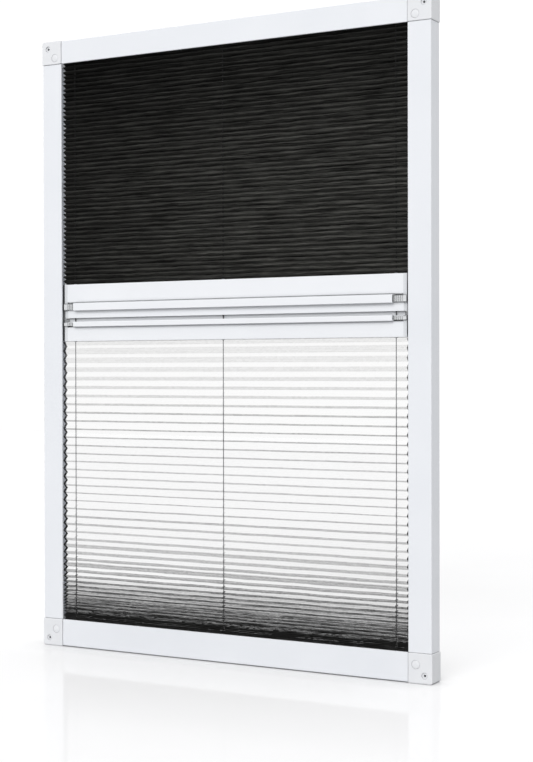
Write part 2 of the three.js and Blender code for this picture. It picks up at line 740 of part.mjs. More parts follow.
function buildFrame() {
  const frame = new THREE.Group();
  frame.add(endProfile('top_profile', topFace, frameTop, -1));
  frame.add(endProfile('bottom_profile', bottomFace, frameBottom, 1));
  frame.add(sideProfile('left_profile', -1));
  frame.add(sideProfile('right_profile', 1));
  const ends = [['top', topFace, frameTop, -1], ['bottom', bottomFace, frameBottom, 1]];
  for (const [height, face, edgeZ, inward] of ends) {
    for (const [hand, side] of [['left', -1], ['right', 1]]) {
      frame.add(cornerBlock(`corner_block_${height}_${hand}`, side, face, edgeZ, inward));
      frame.add(coverCap(`cover_cap_${height}_${hand}`, side, edgeZ, inward));
    }
  }
  frame.add(carrierBar('header_carrier', headerZ, 1));
  frame.add(carrierBar('sill_carrier', sillZ, -1));
  frame.add(clampStrip('header_clamp', headerZ, 1));
  frame.add(clampStrip('sill_clamp', sillZ, -1));
  return frame;
}

function buildCords() {
  const cords = new THREE.Group();
  const clipTop = headerZ + carrierThickness + seatGap;
  const channelFloor = frameBottom + (bottomFace - channelDepth);
  const springHigh = sillZ - carrierThickness - seatGap;
  const knotLow = channelFloor + 2 * seatGap + knotHeight;
  const clipLow = knotLow + seatGap;
  const springLow = clipLow + clipThickness + seatGap;
  for (const [place, x] of Object.entries(cordPlaces)) {
    cords.add(tensionCord(`tension_cord_${place}`, x, knotLow, clipTop + clipThickness + seatGap));
    cords.add(cordClip(`cord_clip_top_${place}`, x, clipTop));
    cords.add(cordClip(`cord_clip_bottom_${place}`, x, clipLow));
    cords.add(tensionSpring(`tension_spring_${place}`, x, springLow, springHigh));
  }
  return cords;
}

function buildRail(rail, clamp, caps, eyelets) {
  const group = new THREE.Group();
  group.add(rail, clamp, ...caps, ...eyelets);
  return group;
}

const blind = new THREE.Group();
blind.add(buildFrame());
blind.add(buildCords());
blind.add(blackoutCloth());
blind.add(screenCloth());
blind.add(buildRail(
  upperRail(),
  clampStrip('upper_rail_clamp', upperRailTop, -1),
  [upperEndCap('upper_end_cap_left', -1), upperEndCap('upper_end_cap_right', 1)],
  Object.entries(cordPlaces).map(([place, x]) => eyelet(`upper_eyelet_${place}`, x, upperRailTop, -1)),
));
blind.add(buildRail(
  lowerRail(),
  clampStrip('lower_rail_clamp', lowerRailZ, 1),
  [lowerEndCap('lower_end_cap_left', -1), lowerEndCap('lower_end_cap_right', 1)],
  Object.entries(cordPlaces).map(([place, x]) => eyelet(`lower_eyelet_${place}`, x, lowerRailZ, 1)),
));

export default blind;
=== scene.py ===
import math

import bpy
import numpy as np
from mathutils import Matrix, Vector


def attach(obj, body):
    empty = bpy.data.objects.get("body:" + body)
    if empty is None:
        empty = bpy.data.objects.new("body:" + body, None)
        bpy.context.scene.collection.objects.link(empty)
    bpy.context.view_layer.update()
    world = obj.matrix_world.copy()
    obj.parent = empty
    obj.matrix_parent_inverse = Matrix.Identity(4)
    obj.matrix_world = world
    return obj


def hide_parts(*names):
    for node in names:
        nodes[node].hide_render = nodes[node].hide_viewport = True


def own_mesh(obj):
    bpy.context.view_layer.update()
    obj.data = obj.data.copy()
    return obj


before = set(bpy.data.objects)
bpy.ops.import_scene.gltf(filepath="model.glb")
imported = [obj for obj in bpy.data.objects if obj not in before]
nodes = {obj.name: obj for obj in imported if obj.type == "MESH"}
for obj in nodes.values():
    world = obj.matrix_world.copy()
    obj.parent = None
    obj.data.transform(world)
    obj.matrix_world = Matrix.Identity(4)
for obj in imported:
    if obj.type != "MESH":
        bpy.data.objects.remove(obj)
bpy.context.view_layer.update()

scene = bpy.context.scene
scene.view_settings.view_transform = "Standard"  # keeps whites white


# Camera: stands a little right of the window blind, at half its height
camera = {
    "eye": (1.25206, -2.10991, 0.43526),
    "yaw": 29.485,  # degrees to the left of straight ahead
    "pitch": -0.4285,
    "roll": -0.1057,
    "lens": 73.63,  # mm, for a 36 mm sensor along the tall side of 533 x 762
}
yaw, pitch, roll = (math.radians(camera[k]) for k in ("yaw", "pitch", "roll"))
ahead = Vector((-math.sin(yaw) * math.cos(pitch), math.cos(yaw) * math.cos(pitch), math.sin(pitch)))
level = Vector((math.cos(yaw), math.sin(yaw), 0))
over = level.cross(ahead)
right = math.cos(roll) * level + math.sin(roll) * over
up = math.cos(roll) * over - math.sin(roll) * level
eye = bpy.data.objects.new("camera", bpy.data.cameras.new("camera"))
scene.collection.objects.link(eye)
eye.data.lens = camera["lens"]
eye.data.sensor_width = 36
eye.matrix_world = Matrix.Translation(camera["eye"]) @ Matrix((right, up, -ahead)).transposed().to_4x4()
scene.camera = eye
print("camera placed")


# Materials
def linear(hexCode):  # an sRGB hex value as the linear colour that a shader takes
    parts = [int(hexCode[i:i + 2], 16) / 255 for i in (0, 2, 4)]
    return (*(p / 12.92 if p <= 0.04045 else ((p + 0.055) / 1.055) ** 2.4 for p in parts), 1)


def add(tree, kind, values=None, links=None, **settings):  # one node, its settings, values and links
    node = tree.nodes.new(kind)
    for name, value in settings.items():
        setattr(node, name, value)
    for name, value in (values or {}).items():
        node.inputs[name].default_value = value
    for name, socket in (links or {}).items():
        tree.links.new(socket, node.inputs[name])
    return node


def finish(name, **constants):  # a new material: its tree, shader and object coordinates in metres
    made = bpy.data.materials.new(name)
    made.use_nodes = True
    shader = made.node_tree.nodes["Principled BSDF"]
    for socket, value in constants.items():
        shader.inputs[socket.replace("_", " ")].default_value = value
    place = add(made.node_tree, "ShaderNodeTexCoord").outputs["Object"]
    return made, made.node_tree, shader, place


def perMetre(millimetres):  # scale of a noise whose lumps are about that big
    return 1000 / millimetres


def bandScale(millimetres):  # scale of a wave texture that repeats every so many mm
    return math.pi / 10 / (millimetres / 1000)


def between(tree, low, high, share):  # a tone that runs from one hex value to another
    tones = {6: linear(low), 7: linear(high)}
    return add(tree, "ShaderNodeMix", tones, {0: share}, data_type="RGBA").outputs[2]


def ranged(tree, pair, share):  # a value that runs over a pair of numbers
    return add(tree, "ShaderNodeMapRange", {"To Min": pair[0], "To Max": pair[1]}, {"Value": share}).outputs[0]


def scaled(tree, tone, factor):
    node = add(tree, "ShaderNodeVectorMath", links={0: tone, "Scale": factor}, operation="SCALE")
    return node.outputs[0]


def paintedNookShade(tree, tone, s):  # the tone, darkened by painted shade where other surfaces stand within some millimetres
    reach, shut, open, least = s["nooks"]
    nook = add(tree, "ShaderNodeAmbientOcclusion", {"Distance": reach / 1000}, samples=8)
    nookShadeShare = add(tree, "ShaderNodeMapRange", {"From Min": shut, "From Max": open, "To Min": least},
               {"Value": nook.outputs["AO"]})
    return scaled(tree, tone, nookShadeShare.outputs[0])


def powderCoat(name, white, shade, s):
    # Polyester powder, sprayed and baked on an extrusion: an even cool white with a satin shine.
    # The orange peel breaks the highlights up. The film is a touch greyer where it is thin. In the grooves and
    # under the grips the tone is darkened by painted shade.
    made, tree, shader, place = finish(name, IOR=1.5, Coat_Weight=s["coat"], Coat_Roughness=s["coatRough"])
    cloud = add(tree, "ShaderNodeTexNoise", {"Scale": perMetre(s["cloud"]), "Detail": 2.0}, {"Vector": place})
    peel = add(tree, "ShaderNodeTexNoise", {"Scale": perMetre(s["peel"]), "Detail": 1.0}, {"Vector": place})
    bump = add(tree, "ShaderNodeBump", {"Strength": 0.6, "Distance": s["peelDepth"] / 1000},
               {"Height": peel.outputs[0]})
    tone = between(tree, shade, white, cloud.outputs[0])
    # painted shade: the tone darkens in grooves and under overhangs
    tree.links.new(paintedNookShade(tree, tone, s), shader.inputs["Base Color"])
    tree.links.new(ranged(tree, s["rough"], cloud.outputs[0]), shader.inputs["Roughness"])
    tree.links.new(bump.outputs[0], shader.inputs["Normal"])
    return made


def mouldedPlastic(name, pale, deep, s):
    # Injection moulded in a spark-eroded tool: matt and very finely grained, with slow changes of
    # tone where the melt flowed. The grain is drawn coarser than life, or it would not show.
    made, tree, shader, place = finish(name, IOR=s["ior"])
    flow = add(tree, "ShaderNodeTexNoise", {"Scale": perMetre(s["flow"]), "Detail": 3.0, "Distortion": 0.6},
               {"Vector": place})
    tone = between(tree, deep, pale, flow.outputs[0])
    if "grip" in s:  # a second, greyer shot of plastic in front of the plate
        grey, back, ahead = s["grip"]
        depth = add(tree, "ShaderNodeSeparateXYZ", links={0: place})
        shot = add(tree, "ShaderNodeMapRange", {"From Min": back, "From Max": ahead},
                   {"Value": depth.outputs["Y"]})
        tone = add(tree, "ShaderNodeMix", {7: linear(grey)}, {0: shot.outputs[0], 6: tone},
                   data_type="RGBA").outputs[2]
    grain = add(tree, "ShaderNodeTexNoise", {"Scale": perMetre(s["grain"]), "Detail": 3.0, "Roughness": 0.7},
                {"Vector": place})
    bump = add(tree, "ShaderNodeBump", {"Strength": 0.5, "Distance": s["grainDepth"] / 1000},
               {"Height": grain.outputs[0]})
    # painted shade: the tone darkens where other surfaces stand near
    tree.links.new(paintedNookShade(tree, tone, s), shader.inputs["Base Color"])
    tree.links.new(ranged(tree, s["rough"], grain.outputs[0]), shader.inputs["Roughness"])
    tree.links.new(bump.outputs[0], shader.inputs["Normal"])
    return made


def drawnSpringSteel(name, s):
    # Cold-drawn wire: bright grey metal with fine scratches round the coil from the die.
    made, tree, shader, place = finish(name, Metallic=1.0)
    spread = add(tree, "ShaderNodeMapping", {"Scale": (1, 1, s["drawn"])}, {"Vector": place})
    scratch = add(tree, "ShaderNodeTexNoise", {"Scale": perMetre(s["scratch"]), "Detail": 4.0},
                  {"Vector": spread.outputs[0]})
    tree.links.new(between(tree, s["deep"], s["pale"], scratch.outputs[0]), shader.inputs["Base Color"])
    tree.links.new(ranged(tree, s["rough"], scratch.outputs[0]), shader.inputs["Roughness"])
    return made


def braidedPolyester(name, s):
    # Braided cord of charcoal yarn: two sets of strands cross at a slant, with dark gaps between.
    # The braid is drawn at its real 1.6 mm pitch and is mostly too fine to see at this distance.
    # Painted light: the yarn is drawn many times lighter along the insect screen, where it hangs in the light,
    # and stays dark behind the blackout cloth, in its shade.
    made, tree, shader, place = finish(name, Roughness=0.75, Specular_IOR_Level=0.1, Sheen_Weight=0.03,
                                       Sheen_Roughness=0.5)
    strands = []
    for slant in (-1, 1):
        turn = add(tree, "ShaderNodeMapping", {"Rotation": (0, slant * s["slant"], 0)}, {"Vector": place})
        strands.append(add(tree, "ShaderNodeTexWave", {"Scale": bandScale(s["braid"])},
                           {"Vector": turn.outputs[0]}, bands_direction="Z").outputs[1])
    both = add(tree, "ShaderNodeMath", links={0: strands[0], 1: strands[1]}, operation="MAXIMUM")
    bump = add(tree, "ShaderNodeBump", {"Strength": 0.7, "Distance": s["strand"] / 1000},
               {"Height": both.outputs[0]})
    # painted light: the tone is raised between these heights, along the screen
    above, top, bottom, below, most = s["paintedLitSpan"]
    spot = add(tree, "ShaderNodeSeparateXYZ", links={0: place}).outputs["Z"]
    ends = [add(tree, "ShaderNodeMapRange", {"From Min": dark, "From Max": light}, {"Value": spot}).outputs[0]
            for dark, light in ((above, top), (below, bottom))]
    share = add(tree, "ShaderNodeMath", links={0: ends[0], 1: ends[1]}, operation="MULTIPLY")
    paintedLitFactor = add(tree, "ShaderNodeMath", {1: most - 1, 2: 1.0}, {0: share.outputs[0]}, operation="MULTIPLY_ADD")
    tone = scaled(tree, between(tree, s["deep"], s["pale"], both.outputs[0]), paintedLitFactor.outputs[0])
    tree.links.new(tone, shader.inputs["Base Color"])
    tree.links.new(bump.outputs[0], shader.inputs["Normal"])
    return made


def blackoutPolyester(name, s):
    # Tightly woven black polyester, pressed into pleats and backed so that no light comes through:
    # a dull charcoal, with slubs and pressing streaks that run along the folds. Threads are really
    # about 0.3 mm apart and are drawn at s["thread"] so that the weave shows.
    # Painted light and shade: the tone is darker near its top and its left edge and lighter lower down and to
    # the right, standing in for how the light falls across the cloth.
    made, tree, shader, place = finish(name, IOR=1.45, Specular_IOR_Level=0.12, Sheen_Weight=s["sheen"],
                                       Sheen_Roughness=0.45)
    along = add(tree, "ShaderNodeMapping", {"Scale": (1 / s["slub"][0], 1 / s["slub"][1], 1 / s["slub"][1])},
                {"Vector": place})
    slub = add(tree, "ShaderNodeTexNoise", {"Scale": 1000.0, "Detail": 3.0, "Roughness": 0.6},
               {"Vector": along.outputs[0]})
    wide = add(tree, "ShaderNodeMapping", {"Scale": (1 / s["patch"][0], 1 / s["patch"][1], 1 / s["patch"][1])},
               {"Vector": place})
    patch = add(tree, "ShaderNodeTexNoise", {"Scale": 1000.0, "Detail": 2.0}, {"Vector": wide.outputs[0]})
    ofSlub, ofPatch = s["shares"]
    mixed = add(tree, "ShaderNodeMath", {1: ofPatch}, {0: patch.outputs[0]}, operation="MULTIPLY")
    streak = add(tree, "ShaderNodeMath", {1: ofSlub}, {0: slub.outputs[0], 2: mixed.outputs[0]},
                 operation="MULTIPLY_ADD")
    darkest, palest = s["contrast"]
    spread = add(tree, "ShaderNodeMapRange", {"From Min": darkest, "From Max": palest},
                 {"Value": streak.outputs[0]})
    tone = between(tree, s["deep"], s["pale"], spread.outputs[0])
    # painted light and shade: the tone darkens towards the top and left and lightens lower down
    spot = add(tree, "ShaderNodeSeparateXYZ", links={0: place})
    paintedLightRamps = []
    for axis, (start, end, least, most) in s["paintedLight"].items():
        paintedLightRamps.append(add(tree, "ShaderNodeMapRange",
                         {"From Min": start, "From Max": end, "To Min": least, "To Max": most},
                         {"Value": spot.outputs[axis]}, interpolation_type="SMOOTHSTEP").outputs[0])
    paintedLight = add(tree, "ShaderNodeMath", links={0: paintedLightRamps[0], 1: paintedLightRamps[1]}, operation="MULTIPLY")
    weft = add(tree, "ShaderNodeTexWave", {"Scale": bandScale(s["thread"]), "Distortion": 1.5},
               {"Vector": place}, bands_direction="Z")
    warp = add(tree, "ShaderNodeTexWave", {"Scale": bandScale(s["thread"]), "Distortion": 1.5},
               {"Vector": place}, bands_direction="X")
    weave = add(tree, "ShaderNodeMath", links={0: weft.outputs[1], 1: warp.outputs[1]}, operation="MULTIPLY")
    threads = add(tree, "ShaderNodeBump", {"Strength": 0.35, "Distance": s["threadDepth"] / 1000},
                  {"Height": weave.outputs[0]})
    slubs = add(tree, "ShaderNodeBump", {"Strength": 0.6, "Distance": s["slubDepth"] / 1000},
                {"Height": slub.outputs[0], "Normal": threads.outputs[0]})
    tree.links.new(scaled(tree, tone, paintedLight.outputs[0]), shader.inputs["Base Color"])
    tree.links.new(ranged(tree, s["rough"], weave.outputs[0]), shader.inputs["Roughness"])
    tree.links.new(slubs.outputs[0], shader.inputs["Normal"])
    return made


def screenMesh(name, s):
    # Insect netting of charcoal-coated yarn, pressed into pleats. Each hole is lit through from
    # behind, so the net is nearly clear where it is drawn out and black where it is stacked up.
    # threadCover is the share of each face that yarn covers, raised in a band under each front fold as painted
    # shade; from s["closing"] up the holes close.
    # Threads are really 1.2 mm apart and are drawn at s["thread"], since finer ones only flicker.
    made, tree, shader, place = finish(name, Roughness=0.7, IOR=1.45, Specular_IOR_Level=0.2,
                                       Sheen_Weight=0.05, Sheen_Roughness=0.5)
    weft = add(tree, "ShaderNodeTexWave", {"Scale": bandScale(s["thread"]), "Distortion": 0.6},
               {"Vector": place}, bands_direction="Z")
    warp = add(tree, "ShaderNodeTexWave", {"Scale": bandScale(s["thread"]), "Distortion": 0.6},
               {"Vector": place}, bands_direction="X")
    net = add(tree, "ShaderNodeMath", links={0: weft.outputs[1], 1: warp.outputs[1]}, operation="MAXIMUM")
    uneven = add(tree, "ShaderNodeTexNoise", {"Scale": perMetre(s["uneven"]), "Detail": 3.0}, {"Vector": place})
    cover = add(tree, "ShaderNodeAttribute", attribute_name="threadCover", attribute_type="GEOMETRY")
    share = add(tree, "ShaderNodeMath",
                links={0: cover.outputs["Fac"], 1: ranged(tree, (s["gap"], s["knot"]), net.outputs[0])},
                operation="MULTIPLY", use_clamp=True)
    solid = add(tree, "ShaderNodeMapRange", {"From Min": s["closing"], "From Max": 1.0},
                {"Value": cover.outputs["Fac"]})
    closed = add(tree, "ShaderNodeMath", links={0: share.outputs[0], 1: solid.outputs[0]}, operation="MAXIMUM")
    bump = add(tree, "ShaderNodeBump", {"Strength": 0.5, "Distance": 0.0003}, {"Height": net.outputs[0]})
    tree.links.new(between(tree, s["deep"], s["pale"], uneven.outputs[0]), shader.inputs["Base Color"])
    tree.links.new(bump.outputs[0], shader.inputs["Normal"])
    clear = add(tree, "ShaderNodeBsdfTransparent")
    both = add(tree, "ShaderNodeMixShader", links={0: closed.outputs[0], 1: clear.outputs[0],
                                                   2: shader.outputs[0]})
    tree.links.new(both.outputs[0], tree.nodes["Material Output"].inputs["Surface"])
    return made


# nooks, for the painted shade: how near another surface darkens this one (mm), how shut in it is at the darkest
# and where the shade ends, and what is left of the tone at the darkest
coat = {"coat": 0.08, "coatRough": 0.22, "cloud": 110, "rough": (0.42, 0.54), "peel": 3.5, "peelDepth": 0.03}
frameCoat = powderCoat("satin powder coat on the frame", "EFF1F5", "E7EAEF",
                       {**coat, "nooks": (6, 0.2, 0.85, 0.45)})
# the two rails' coats differ only in how much painted shade they take
upperCoat = powderCoat("satin powder coat on the upper rail", "F2F4F7", "ECEEF2",
                       {**coat, "nooks": (8, 0.25, 0.9, 0.38)})
lowerCoat = powderCoat("satin powder coat on the lower rail", "F2F4F7", "ECEEF2",
                       {**coat, "nooks": (12, 0.45, 0.9, 0.72)})
blockPlastic = mouldedPlastic("white moulded ABS", "ECEDEF", "E2E4E8",
                              {"ior": 1.52, "flow": 40, "grain": 1.2, "grainDepth": 0.05, "rough": (0.42, 0.6),
                               "nooks": (4, 0.2, 0.85, 0.5)})
capPlastic = mouldedPlastic("white moulded polypropylene", "EFF0F2", "E4E6EA",
                            {"ior": 1.49, "flow": 25, "grain": 0.9, "grainDepth": 0.03, "rough": (0.34, 0.5),
                             "nooks": (4, 0.2, 0.85, 0.6)})
endPlastic = mouldedPlastic("grey-white moulded acetal", "E4E6E9", "DADDE1",
                            {"ior": 1.48, "flow": 18, "grain": 0.8, "grainDepth": 0.03, "rough": (0.34, 0.5),
                             "nooks": (10, 0.48, 0.92, 0.24), "grip": ("DCDEE0", -0.0262, -0.0268)})
clampPlastic = mouldedPlastic("grey extruded PVC", "BEC1C5", "AFB3B8",
                              {"ior": 1.53, "flow": 60, "grain": 1.0, "grainDepth": 0.04, "rough": (0.4, 0.6),
                               "nooks": (4, 0.2, 0.85, 0.6)})
springSteel = drawnSpringSteel("cold-drawn spring steel",
                               {"pale": "C3C5C8", "deep": "8E9196", "scratch": 0.8, "drawn": 6,
                                "rough": (0.22, 0.42)})
cordYarn = braidedPolyester("braided charcoal polyester cord", {
    "pale": "2C2C2D", "deep": "121213", "braid": 1.6, "slant": 0.9, "strand": 0.15,
    "paintedLitSpan": (0.51, 0.48, 0.16, 0.03, 12)})  # painted light: heights between which it lightens and darkens again (m), how much lighter
blackCloth = blackoutPolyester("black pleated polyester", {
    "pale": "4E4E4B", "deep": "121211", "sheen": 0.02, "rough": (0.7, 0.95),
    "thread": 1.4, "threadDepth": 0.2, "slubDepth": 0.6,
    "slub": (48, 2.2), "patch": (150, 9),  # mm along and across the folds
    "shares": (0.78, 0.22), "contrast": (0.36, 0.66),  # of slubs and patches; where the sum is dark and pale
    "paintedLight": {"X": (-0.40, 0.20, 0.50, 1.10), "Z": (1.02, 0.70, 0.30, 1.42)}})  # painted light and shade: from, to (m), lightness there
netting = screenMesh("charcoal pleated netting", {"pale": "282827", "deep": "151514", "thread": 2.4,
                                                 "uneven": 14, "gap": 0.65, "knot": 1.3, "closing": 0.8})

finishOf = {"coated_aluminium": frameCoat, "white_plastic": blockPlastic, "grey_plastic": clampPlastic,
            "cord": cordYarn, "spring_steel": springSteel, "blackout_cloth": blackCloth, "screen_mesh": netting}
for name, node in nodes.items():
    chosen = finishOf[node.data.materials[0].name.split(".")[0]]
    if "rail" in name and chosen is frameCoat:
        chosen = upperCoat if "upper" in name else lowerCoat
    if name.startswith(("cover_cap", "cord_clip")):
        chosen = capPlastic
    if "end_cap" in name:
        chosen = endPlastic
    for place in node.material_slots:
        place.link = "OBJECT"
        place.material = chosen
print("materials made")


# Small roundings that catch the light, in mm: an extrusion's corner, a mould's edge.
# The first word that a name holds counts, so a rail's clamp gets a clamp's edges.
edges = {"corner_block": 0.4, "cover_cap": 0.25, "end_cap": 0.3, "clamp": 0.15, "profile": 0.45, "rail": 0.35,
         "carrier": 0.4, "eyelet": 0.15, "clip": 0.2}
rounding = {"weld": 0.01, "segments": 2, "sharp": 35}  # mm within which points join, and degrees
for name, node in nodes.items():
    radius = [size for word, size in edges.items() if word in name]
    if not radius:
        continue
    weld = node.modifiers.new("weld", "WELD")
    weld.merge_threshold = rounding["weld"] / 1000
    bevel = node.modifiers.new("edge", "BEVEL")
    bevel.width = radius[0] / 1000
    bevel.segments = rounding["segments"]
    bevel.limit_method = "ANGLE"
    bevel.angle_limit = math.radians(rounding["sharp"])
    bevel.harden_normals = True
print("edges rounded")


# Both cloths: pleats whose folds wander a little along the width
cloth = {
    "leg": -0.0171,  # plane of the ends that go into the clamps
    "cords": (-0.2907, -0.006, 0.2907),
    "cordPlane": -0.022,
    "step": 0.0052, "clear": 0.003,  # between the points along a fold, and from a cord to the next one
    "still": (0.002, 0.006),  # a fold lies still this near to a cord, and wanders fully that much further off
    "sliver": 0.05,  # no strip of a face is narrower than this share of it
}


def places(own):  # points along a fold: even steps, with extra ones at the edges, holes and rims
    step = cloth["step"]
    first, last = own["edges"]
    made = [first, first + own["selvedge"][0], last - own["selvedge"][1], last]
    fixed = []
    for x in cloth["cords"]:
        for d in (own["hole"], own["hole"] + own["rim"]):
            fixed += [x - d, x + d]
    made += fixed
    for x in np.arange(first + step, last - step / 2, step):
        crowded = min(abs(x - f) for f in fixed) <= 0.6 * step
        if not crowded and min(abs(x - c) for c in cloth["cords"]) > cloth["clear"]:
            made.append(float(x))
    return np.array(sorted(made))


def fromCords(across):
    return np.min(np.abs(across[:, None] - np.array(cloth["cords"])[None, :]), 1)


def freedom(across):  # 0 where a cord threads the folds, 1 away from it
    near, further = cloth["still"]
    return np.clip((fromCords(across) - near) / further, 0, 1)


def wander(across, seed, count, length):  # smooth lines between about -1 and 1, one for each fold
    pick = np.random.default_rng(seed)
    total = np.zeros((count, len(across)))
    for wave, share in ((length, 0.55), (length * 0.47, 0.3), (length * 0.21, 0.15)):
        turns = 2 * np.pi / (wave * pick.uniform(0.75, 1.35, (count, 1)))
        total += share * np.sin(turns * across[None, :] + pick.uniform(0, 2 * np.pi, (count, 1)))
    return total


def cordCuts(fromY, toY, own):  # where a face passes the front and back of the cord holes and of their rims
    found = [(cloth["cordPlane"] + d - fromY) / (toY - fromY)
             for d in (-own["patch"], -own["hole"], own["hole"], own["patch"])]
    return [c for c in found if cloth["sliver"] < c < 1 - cloth["sliver"]]


def pleated(name, own, across, folds, depths, heights):
    # folds: one for each crease from the top down; depths and heights: where it runs along the width.
    # Each face between two creases is cut in strips, which are left out where a cord passes.
    # strips: cover, how far from the cords (m), cover of the rims of the holes, cover of the selvedge
    covers = own["covers"]
    whole = (covers["leg"], math.inf, covers["leg"], covers["leg"])
    clampedTop, clampedBottom = own["clamped"]
    rows, strips = [], []
    for z in (clampedTop, own["top"]):
        rows.append((np.full(len(across), cloth["leg"]), np.full(len(across), z)))
        strips.append(whole)
    for i, (y, z) in enumerate(zip(depths, heights)):
        rows.append((y, z))
        if i + 1 == len(folds):
            break
        nextY, nextZ = depths[i + 1], heights[i + 1]
        cuts = sorted({*folds[i]["cuts"], *cordCuts(folds[i]["y"], folds[i + 1]["y"], own)})
        for j, cut in enumerate([0.0] + cuts):
            if cut:
                rows.append((y + (nextY - y) * cut, z + (nextZ - z) * cut))
            middle = (cut + (cuts + [1.0])[j]) / 2
            reach = folds[i]["y"] + (folds[i + 1]["y"] - folds[i]["y"]) * middle
            strips.append((folds[i]["cover"](middle), abs(reach - cloth["cordPlane"]), *folds[i]["trim"]))
    strips.append(whole)
    for z in (own["bottom"], clampedBottom):
        rows.append((np.full(len(across), cloth["leg"]), np.full(len(across), z)))
        strips.append(whole)
    points = np.stack([np.stack([across, y, z], 1) for y, z in rows])
    count, wide = points.shape[:2]
    faces, values = [], []
    middles = (across[:-1] + across[1:]) / 2
    atHole = fromCords(middles) < own["hole"]
    atRim = fromCords(middles) < own["hole"] + own["rim"]
    left, right = own["selvedge"]
    atEdge = (middles < across[0] + left) | (middles > across[-1] - right)
    noise = covers["uneven"] * np.random.default_rng(5).uniform(-1, 1, (count, wide))
    for i in range(count - 1):
        value, away, rim, edge = strips[i]
        for j in range(wide - 1):
            if away < own["hole"] and atHole[j]:
                continue
            a = i * wide + j
            faces.append((a, a + wide, a + wide + 1, a + 1))
            v = value
            if away < own["patch"] and atRim[j]:
                v = max(v, rim)
            if atEdge[j]:
                v = max(v, edge)
            values.append(min(max(v * (1 + noise[i, j]), 0), 1))
    mesh = bpy.data.meshes.new(name)
    mesh.from_pydata(points.reshape(-1, 3).tolist(), [], faces)
    shares = mesh.attributes.new("threadCover", "FLOAT", "FACE")
    shares.data.foreach_set("value", np.array(values, np.float32))
    mesh.update()
    made = bpy.data.objects.new(name, mesh)
    scene.collection.objects.link(made)
    return made, points


# Blackout cloth
blackout = {
    "top": 0.94395, "bottom": 0.57585,  # header carrier and upper rail
    "clamped": (0.94695, 0.57285),  # ends inside the clamps
    "keep": 0.0682,  # of its height with the rail at the top
    "pleats": 50, "start": 0.0016, "uneven": 0.0004,  # first crease from either end, and how uneven they are
    "plane": -0.0218, "depth": 0.0077,
    "hole": 0.0005, "rim": 0.0005, "patch": 0.0005,  # half a cord hole, its sealed edge, half the edge's depth
    "edges": (-0.3130, 0.3120), "selvedge": (0.0012, 0.0012),
    "wanderZ": 0.0013, "wanderY": 0.0010,
    "waves": {"Y": 0.11, "Z": 0.16, "fineZ": 0.05}, "fine": 0.4,  # how long, and the share of the short ones
    "covers": {"leg": 1, "uneven": 0},
}
across = places(blackout)
creases = 2 * blackout["pleats"]
spots = np.linspace(blackout["top"] - blackout["start"], blackout["bottom"] + blackout["start"], creases)
spots[1:-1] += np.random.default_rng(11).uniform(-blackout["uneven"], blackout["uneven"], creases - 2)
folds = [{"y": blackout["plane"] + blackout["depth"] / 2 * (1 if i % 2 else -1), "cuts": (),
          "cover": lambda t: 1.0, "trim": (1, 1)} for i in range(creases)]
waves = blackout["waves"]
depths = (np.array([f["y"] for f in folds])[:, None]
          + blackout["wanderY"] * freedom(across) * wander(across, 21, creases, waves["Y"]))
coarse = (1 - blackout["fine"]) * wander(across, 22, creases, waves["Z"])
fine = blackout["fine"] * wander(across, 23, creases, waves["fineZ"])
heights = spots[:, None] + blackout["wanderZ"] * (coarse + fine)
blackoutPiece, blackoutPoints = pleated("blackout_pleats", blackout, across, folds, depths, heights)
print("blackout cloth:", len(blackoutPiece.data.polygons), "faces")

